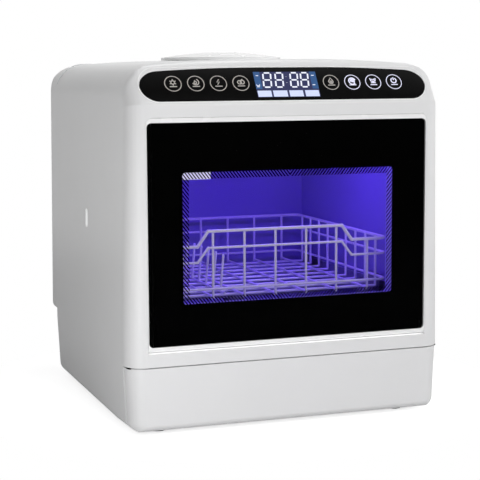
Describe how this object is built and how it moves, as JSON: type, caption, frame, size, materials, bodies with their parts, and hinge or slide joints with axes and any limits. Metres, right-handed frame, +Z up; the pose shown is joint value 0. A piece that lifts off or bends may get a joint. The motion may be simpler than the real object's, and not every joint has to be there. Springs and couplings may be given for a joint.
{
  "type": "countertop dishwasher",
  "caption": "Countertop dishwasher with a drop-down glass door, tilted touch console, wire rack, spray arm and a tank filled through the roof.",
  "frame": {"origin": "middle of the footprint, on the worktop", "axes": "+Z up, -Y out of the door, +X to the right as seen from the front"},
  "size_m": [0.42, 0.445, 0.4675],
  "materials": {
    "white_moulding": "smooth satin",
    "wrap": "smooth satin",
    "strip_glass": "polished",
    "display": "polished",
    "circuit": "matte",
    "tub_liner": "smooth",
    "seal": "matte",
    "foot_rubber": "matte",
    "steel": "brushed",
    "grey_plastic": "matte",
    "dark_plastic": "matte",
    "lamp": "frosted",
    "tank": "translucent",
    "door_glass": "polished",
    "inner_glass": "polished",
    "black_print": "opaque print",
    "rack_wire": "nylon coated wire",
    "base_steel": "zinc"
  },
  "bodies": {
    "cabinet": {"cabinet_shell": "wrap", "front_fascia": "white_moulding", "plinth_panel": "white_moulding", "rear_cover": "wrap", "rear_panel": "base_steel", "base_tray": "base_steel", "feet": "foot_rubber", "side_plug": "white_moulding", "control_strip": "strip_glass", "display_module": "display", "control_board": "circuit", "tub": "tub_liner", "door_gasket": "seal", "rack_rails": "steel", "interior_lamp": "lamp", "sump": "grey_plastic", "spray_hub": "grey_plastic", "spray_nut": "dark_plastic", "wash_pump": "dark_plastic", "wash_pipe": "seal", "drain_pump": "dark_plastic", "drain_hose": "seal", "heater": "steel", "inlet_valve": "white_moulding", "supply_hose": "seal", "inlet_connector": "grey_plastic", "drain_spigot": "grey_plastic", "cord_gland": "dark_plastic", "water_tank": "tank", "filler_neck": "white_moulding", "blower_housing": "dark_plastic", "air_duct": "seal", "hinge_brackets": "steel", "latch_housing": "dark_plastic", "rear_screws": "steel"},
    "door": {"door_frame": "white_moulding", "door_glass": "door_glass", "glass_border": "black_print", "inner_glass": "inner_glass", "window_seal": "seal", "door_liner": "tub_liner", "hinge_pins": "steel", "latch_hook": "white_moulding", "detergent_cup": "grey_plastic"},
    "detergent_lid": {"detergent_lid": "white_moulding"},
    "rack": {"rack_front": "rack_wire", "rack_rear": "rack_wire", "rack_left": "rack_wire", "rack_right": "rack_wire", "rack_floor": "rack_wire", "plate_tines": "rack_wire", "rack_shoes": "grey_plastic"},
    "spray_arm": {"spray_arm": "grey_plastic"},
    "filter": {"filter": "grey_plastic"},
    "pump_impeller": {"pump_impeller": "dark_plastic"},
    "blower_rotor": {"blower_rotor": "dark_plastic"},
    "filler_cap": {"filler_cap": "white_moulding", "cap_seal": "seal"},
    "latch_plunger": {"latch_plunger": "white_moulding"}
  },
  "joints": [
    {"name": "door_hinge", "type": "hinge", "parent": "cabinet", "child": "door", "pos_m": [0, -0.2135, 0.1155], "axis": [1, 0, 0], "range_deg": [0, 90]},
    {"name": "rack_slide", "type": "slide", "parent": "cabinet", "child": "rack", "axis": [0, -1, 0], "range_m": [0, 0.098]},
    {"name": "detergent_lid_slide", "type": "slide", "parent": "door", "child": "detergent_lid", "axis": [-1, 0, 0], "range_m": [0, 0.085]},
    {"name": "filler_cap_lift", "type": "slide", "parent": "cabinet", "child": "filler_cap", "axis": [0, 0, 1], "range_m": [0, 0.06]},
    {"name": "spray_arm_spin", "type": "hinge", "parent": "cabinet", "child": "spray_arm", "pos_m": [0, -0.0075, 0.135], "axis": [0, 0, 1], "continuous": true},
    {"name": "filter_twist", "type": "hinge", "parent": "cabinet", "child": "filter", "pos_m": [0.085, -0.1025, 0.114], "axis": [0, 0, 1], "range_deg": [0, 60]},
    {"name": "pump_spin", "type": "hinge", "parent": "cabinet", "child": "pump_impeller", "pos_m": [0.024, -0.1025, 0.06], "axis": [1, 0, 0], "continuous": true},
    {"name": "blower_spin", "type": "hinge", "parent": "cabinet", "child": "blower_rotor", "pos_m": [-0.085, 0.1975, 0.29], "axis": [0, 1, 0], "continuous": true},
    {"name": "latch_plunger_slide", "type": "slide", "parent": "cabinet", "child": "latch_plunger", "axis": [0, 1, 0], "range_m": [0, 0.003], "stiffness_N_per_m": 150}
  ],
  "couplings": [
    {"joint": "rack_slide", "follows": "door_hinge", "m_per_rad": 0.062}
  ]
}
